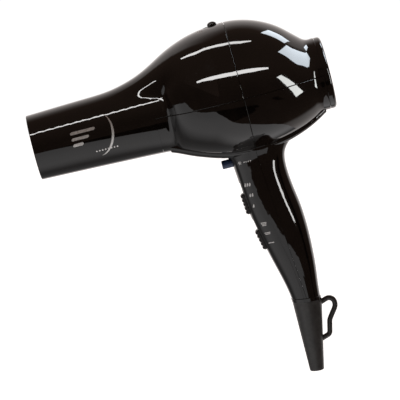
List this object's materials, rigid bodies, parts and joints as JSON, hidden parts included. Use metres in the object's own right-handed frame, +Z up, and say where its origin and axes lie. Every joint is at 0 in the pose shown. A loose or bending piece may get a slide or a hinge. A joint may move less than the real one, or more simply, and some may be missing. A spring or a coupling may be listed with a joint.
{
  "type": "hair dryer",
  "caption": "Handheld hair dryer with a straight barrel, domed motor housing, slide switches on the handle, cool shot button and a hang loop on the strain relief.",
  "frame": {"origin": "centre of the barrel's mouth, on the barrel's axis, in the plane of the mouth", "axes": "+X along the barrel from the mouth to the rear, +Z up, so the handle hangs towards -Z, and +Y to the left of someone who looks out of the mouth"},
  "size_m": [0.2422, 0.1056, 0.2939],
  "materials": {
    "gloss_black": "polished",
    "black_abs": "satin",
    "soft_black": "satin",
    "navy": "gloss",
    "white_plastic": "satin",
    "heat_plastic": "satin",
    "mica": "satin",
    "nichrome": "oxidised wire",
    "steel": "brushed",
    "zinc": "zinc plated",
    "laminations": "stacked steel",
    "copper": "enamelled wire",
    "carbon": "graphite",
    "board": "solder mask",
    "filter_steel": "woven mesh"
  },
  "bodies": {
    "housing": {"front_upper_shell": "gloss_black", "front_lower_shell": "gloss_black", "rear_upper_shell": "gloss_black", "rear_lower_shell": "gloss_black", "handle_front_shell": "gloss_black", "handle_rear_shell": "gloss_black", "finger_guard": "black_abs", "end_collar": "gloss_black", "strain_relief": "soft_black", "cool_shot_spring": "steel", "cool_shot_switch": "black_abs", "heat_switch_body": "black_abs", "speed_switch_body": "black_abs", "switch_board": "board", "ionizer_switch_body": "black_abs", "ionizer_module": "black_abs", "ionizer_needle": "steel", "nose_ring": "black_abs", "outlet_grille": "black_abs", "heat_shield": "mica", "mica_boards": "mica", "heating_coils": "nichrome", "thermostat": "steel", "thermal_fuse": "white_plastic", "fan_housing": "heat_plastic", "motor_mount": "heat_plastic", "motor_can": "zinc", "motor_end_cap": "heat_plastic", "motor_magnets": "carbon", "carbon_brushes": "carbon", "shaft_bearings": "copper", "terminal_block": "white_plastic", "cord_clamp": "black_abs", "clamp_screws": "zinc", "handle_screws": "zinc", "wiring_loom": "soft_black"},
    "cool_shot": {"cool_shot_button": "navy"},
    "heat_thumb": {"heat_slider": "black_abs"},
    "speed_thumb": {"speed_slider": "black_abs"},
    "ionizer_thumb": {"ionizer_knob": "gloss_black"},
    "cover": {"filter_cover": "gloss_black", "filter_mesh": "filter_steel"},
    "rotor": {"rotor_core": "laminations", "rotor_windings": "copper", "commutator": "copper", "motor_shaft": "steel", "impeller": "black_abs", "impeller_nut": "zinc"}
  },
  "joints": [
    {"name": "cool_shot_press", "type": "slide", "parent": "housing", "child": "cool_shot", "axis": [1, 0, 0], "range_m": [0, 0.003], "stiffness_N_per_m": 400, "deforming": ["cool_shot_spring"]},
    {"name": "heat_slide", "type": "slide", "parent": "housing", "child": "heat_thumb", "axis": [-0.0819, 0, 0.9966], "range_m": [0, 0.009]},
    {"name": "speed_slide", "type": "slide", "parent": "housing", "child": "speed_thumb", "axis": [-0.2018, 0, 0.9794], "range_m": [0, 0.009]},
    {"name": "ionizer_slide", "type": "slide", "parent": "housing", "child": "ionizer_thumb", "axis": [1, 0, 0], "range_m": [-0.0035, 0]},
    {"name": "cover_pull", "type": "slide", "parent": "housing", "child": "cover", "axis": [1, 0, 0], "range_m": [0, 0.02]},
    {"name": "rotor_spin", "type": "hinge", "parent": "housing", "child": "rotor", "pos_m": [0.18, 0, 0], "axis": [1, 0, 0], "continuous": true}
  ]
}
